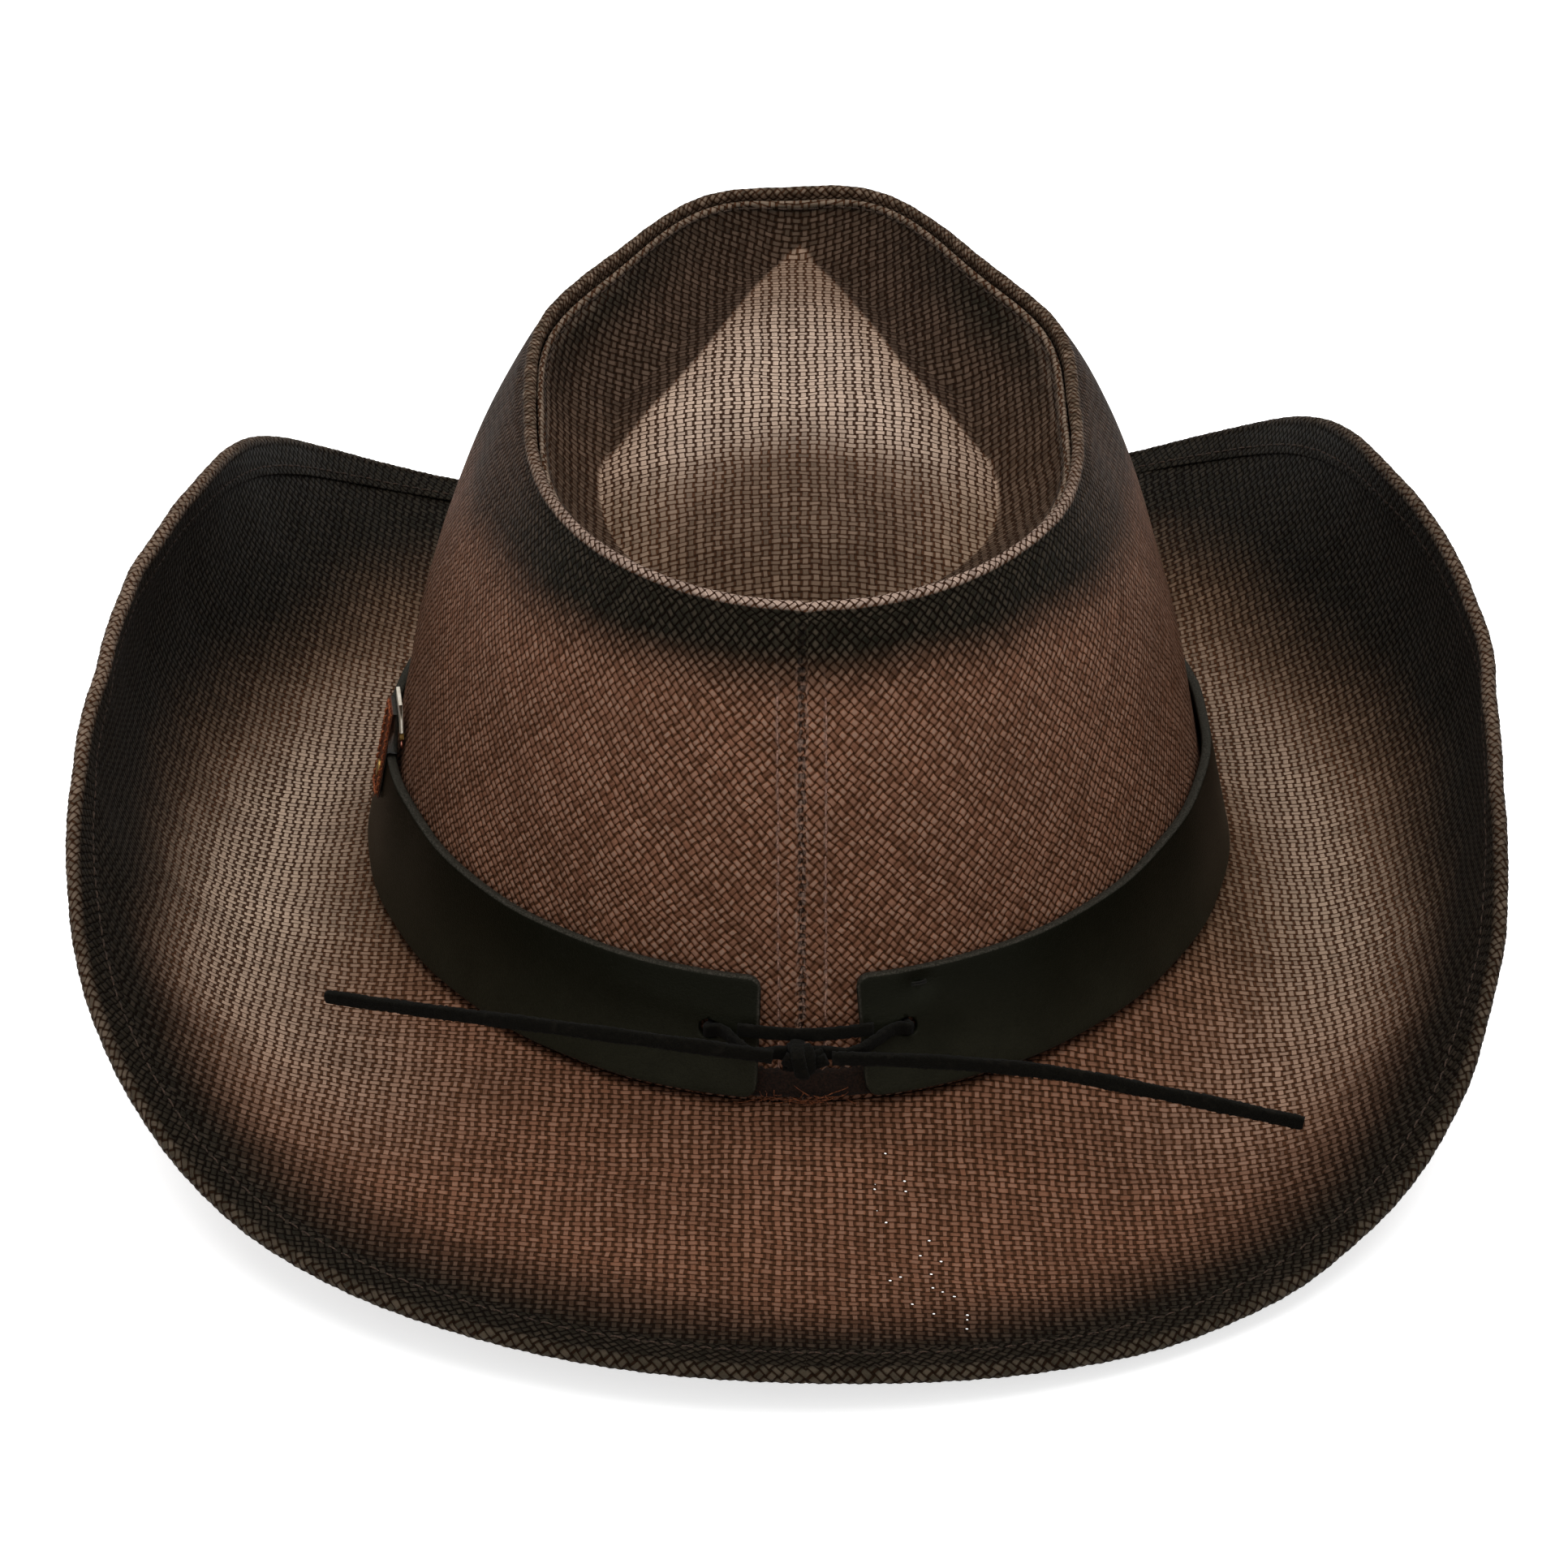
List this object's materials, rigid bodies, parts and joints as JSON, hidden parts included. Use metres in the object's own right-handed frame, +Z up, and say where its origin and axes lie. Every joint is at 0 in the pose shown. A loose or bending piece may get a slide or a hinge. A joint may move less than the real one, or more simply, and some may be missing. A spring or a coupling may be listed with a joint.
{
  "type": "cowboy hat",
  "caption": "Woven straw cowboy hat with a dished teardrop crown, a brim rolled up at both sides, and a leather band tied at the back with a lace.",
  "frame": {"origin": "centre of the head opening, level with the crown-to-brim join at the back", "axes": "+Z up, the front of the hat faces -Y, +X is the wearer's left"},
  "size_m": [0.2773, 0.3825, 0.124],
  "materials": {
    "straw_crown": "woven paper straw, red-brown with black airbrush under the rim",
    "straw_tip": "woven paper straw, lighter beige-brown floor",
    "straw_brim": "woven paper straw, brown, airbrushed black to the edge",
    "binding": "bias straw binding",
    "steel_wire": "spring wire",
    "thread_brown": "sewing thread",
    "thread_orange": "waxed thread",
    "seam_tape": "frayed cloth tape",
    "sweatband": "elastic terry sweatband",
    "label": "blank woven tab",
    "band_leather": "smooth black leather",
    "suede": "black suede lace",
    "patch_leather": "dark leather",
    "plate": "ivory enamel",
    "brass": "brass"
  },
  "bodies": {
    "hat": {"crown_side_panel": "straw_crown", "crown_tip_panel": "straw_tip", "brim": "straw_brim", "brim_edge_binding": "binding", "brim_wire": "steel_wire", "brim_binding_stitches": "thread_brown", "tip_seam_stitches": "thread_brown", "back_seam_stitches": "thread_brown", "crown_brim_seam_tape": "seam_tape", "sweatband": "sweatband", "sweatband_stitches": "thread_brown", "size_tab": "label"},
    "band": {"hatband": "band_leather", "hatband_tack_stitch": "thread_brown", "lace_strands": "suede", "lace_knot": "suede", "ornament_patch": "patch_leather", "ornament_patch_stitches": "thread_orange", "ornament_plate": "plate", "ornament_end_cap": "brass", "ornament_loop": "brass", "ornament_rivet": "brass"},
    "lace_left": {"lace_left_tail": "suede"},
    "lace_right": {"lace_right_tail": "suede"}
  },
  "joints": [
    {"name": "band_lift", "type": "slide", "parent": "hat", "child": "band", "axis": [0, 0, 1], "range_m": [0, 0.135]},
    {"name": "lace_left_swing", "type": "hinge", "parent": "band", "child": "lace_left", "pos_m": [0.0054, 0.1104, 0.0142], "axis": [0, -1, 0], "range_deg": [-6, 35]},
    {"name": "lace_right_swing", "type": "hinge", "parent": "band", "child": "lace_right", "pos_m": [-0.0054, 0.1104, 0.0138], "axis": [0, 1, 0], "range_deg": [0, 35]}
  ]
}
